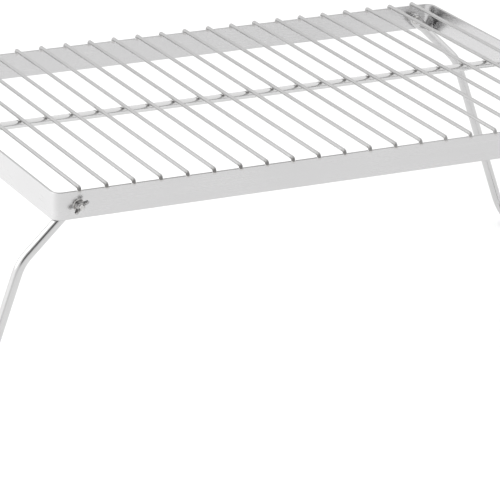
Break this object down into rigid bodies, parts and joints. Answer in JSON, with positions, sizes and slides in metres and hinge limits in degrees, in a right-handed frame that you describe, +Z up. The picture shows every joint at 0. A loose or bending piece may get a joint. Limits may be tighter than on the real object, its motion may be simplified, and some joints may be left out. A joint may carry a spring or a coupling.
{
  "type": "folding camp grill",
  "caption": "Free-standing steel grate in a flat-strip frame, with wire rods, a lengthwise bar and two folding U-shaped legs held by wing nuts.",
  "frame": {"origin": "on the ground under the middle of the grate, with both legs open", "axes": "+X along the long side to the right, +Y to the back, +Z up"},
  "size_m": [0.6684, 0.3616, 0.2164],
  "materials": {
    "band_steel": "flat stainless strip, satin with a faint grain along its length",
    "wire_steel": "drawn stainless wire and bar, semi-bright",
    "leg_steel": "polished stainless round bar",
    "fastener_steel": "plain stainless screws, washers and wing nuts"
  },
  "bodies": {
    "grate": {"frame_band": "band_steel", "grate_rod_01": "wire_steel", "grate_rod_02": "wire_steel", "grate_rod_03": "wire_steel", "grate_rod_04": "wire_steel", "grate_rod_05": "wire_steel", "grate_rod_06": "wire_steel", "grate_rod_07": "wire_steel", "grate_rod_08": "wire_steel", "grate_rod_09": "wire_steel", "grate_rod_10": "wire_steel", "grate_rod_11": "wire_steel", "grate_rod_12": "wire_steel", "grate_rod_13": "wire_steel", "grate_rod_14": "wire_steel", "grate_rod_15": "wire_steel", "grate_rod_16": "wire_steel", "grate_rod_17": "wire_steel", "grate_rod_18": "wire_steel", "grate_rod_19": "wire_steel", "grate_rod_20": "wire_steel", "grate_rod_21": "wire_steel", "grate_rod_22": "wire_steel", "centre_bar": "wire_steel", "left_front_spacer_washer": "fastener_steel", "left_front_nut_washer": "fastener_steel", "left_front_pivot_screw": "fastener_steel", "right_front_spacer_washer": "fastener_steel", "right_front_nut_washer": "fastener_steel", "right_front_pivot_screw": "fastener_steel", "left_back_spacer_washer": "fastener_steel", "left_back_nut_washer": "fastener_steel", "left_back_pivot_screw": "fastener_steel", "right_back_spacer_washer": "fastener_steel", "right_back_nut_washer": "fastener_steel", "right_back_pivot_screw": "fastener_steel"},
    "left_leg": {"left_leg": "leg_steel"},
    "right_leg": {"right_leg": "leg_steel"},
    "left_front_wing_nut": {"left_front_wing_nut": "fastener_steel"},
    "right_front_wing_nut": {"right_front_wing_nut": "fastener_steel"},
    "left_back_wing_nut": {"left_back_wing_nut": "fastener_steel"},
    "right_back_wing_nut": {"right_back_wing_nut": "fastener_steel"}
  },
  "joints": [
    {"name": "left_leg_fold", "type": "hinge", "parent": "grate", "child": "left_leg", "pos_m": [-0.2319, 0, 0.2021], "axis": [0, -1, 0], "range_deg": [0, 116.5]},
    {"name": "right_leg_fold", "type": "hinge", "parent": "grate", "child": "right_leg", "pos_m": [0.2319, 0, 0.2021], "axis": [0, 1, 0], "range_deg": [0, 116.5]},
    {"name": "left_front_wing_nut_turn", "type": "hinge", "parent": "grate", "child": "left_front_wing_nut", "pos_m": [-0.2319, -0.174, 0.2021], "axis": [0, -1, 0], "continuous": true},
    {"name": "right_front_wing_nut_turn", "type": "hinge", "parent": "grate", "child": "right_front_wing_nut", "pos_m": [0.2319, -0.174, 0.2021], "axis": [0, -1, 0], "continuous": true},
    {"name": "left_back_wing_nut_turn", "type": "hinge", "parent": "grate", "child": "left_back_wing_nut", "pos_m": [-0.2319, 0.174, 0.2021], "axis": [0, 1, 0], "continuous": true},
    {"name": "right_back_wing_nut_turn", "type": "hinge", "parent": "grate", "child": "right_back_wing_nut", "pos_m": [0.2319, 0.174, 0.2021], "axis": [0, 1, 0], "continuous": true}
  ]
}
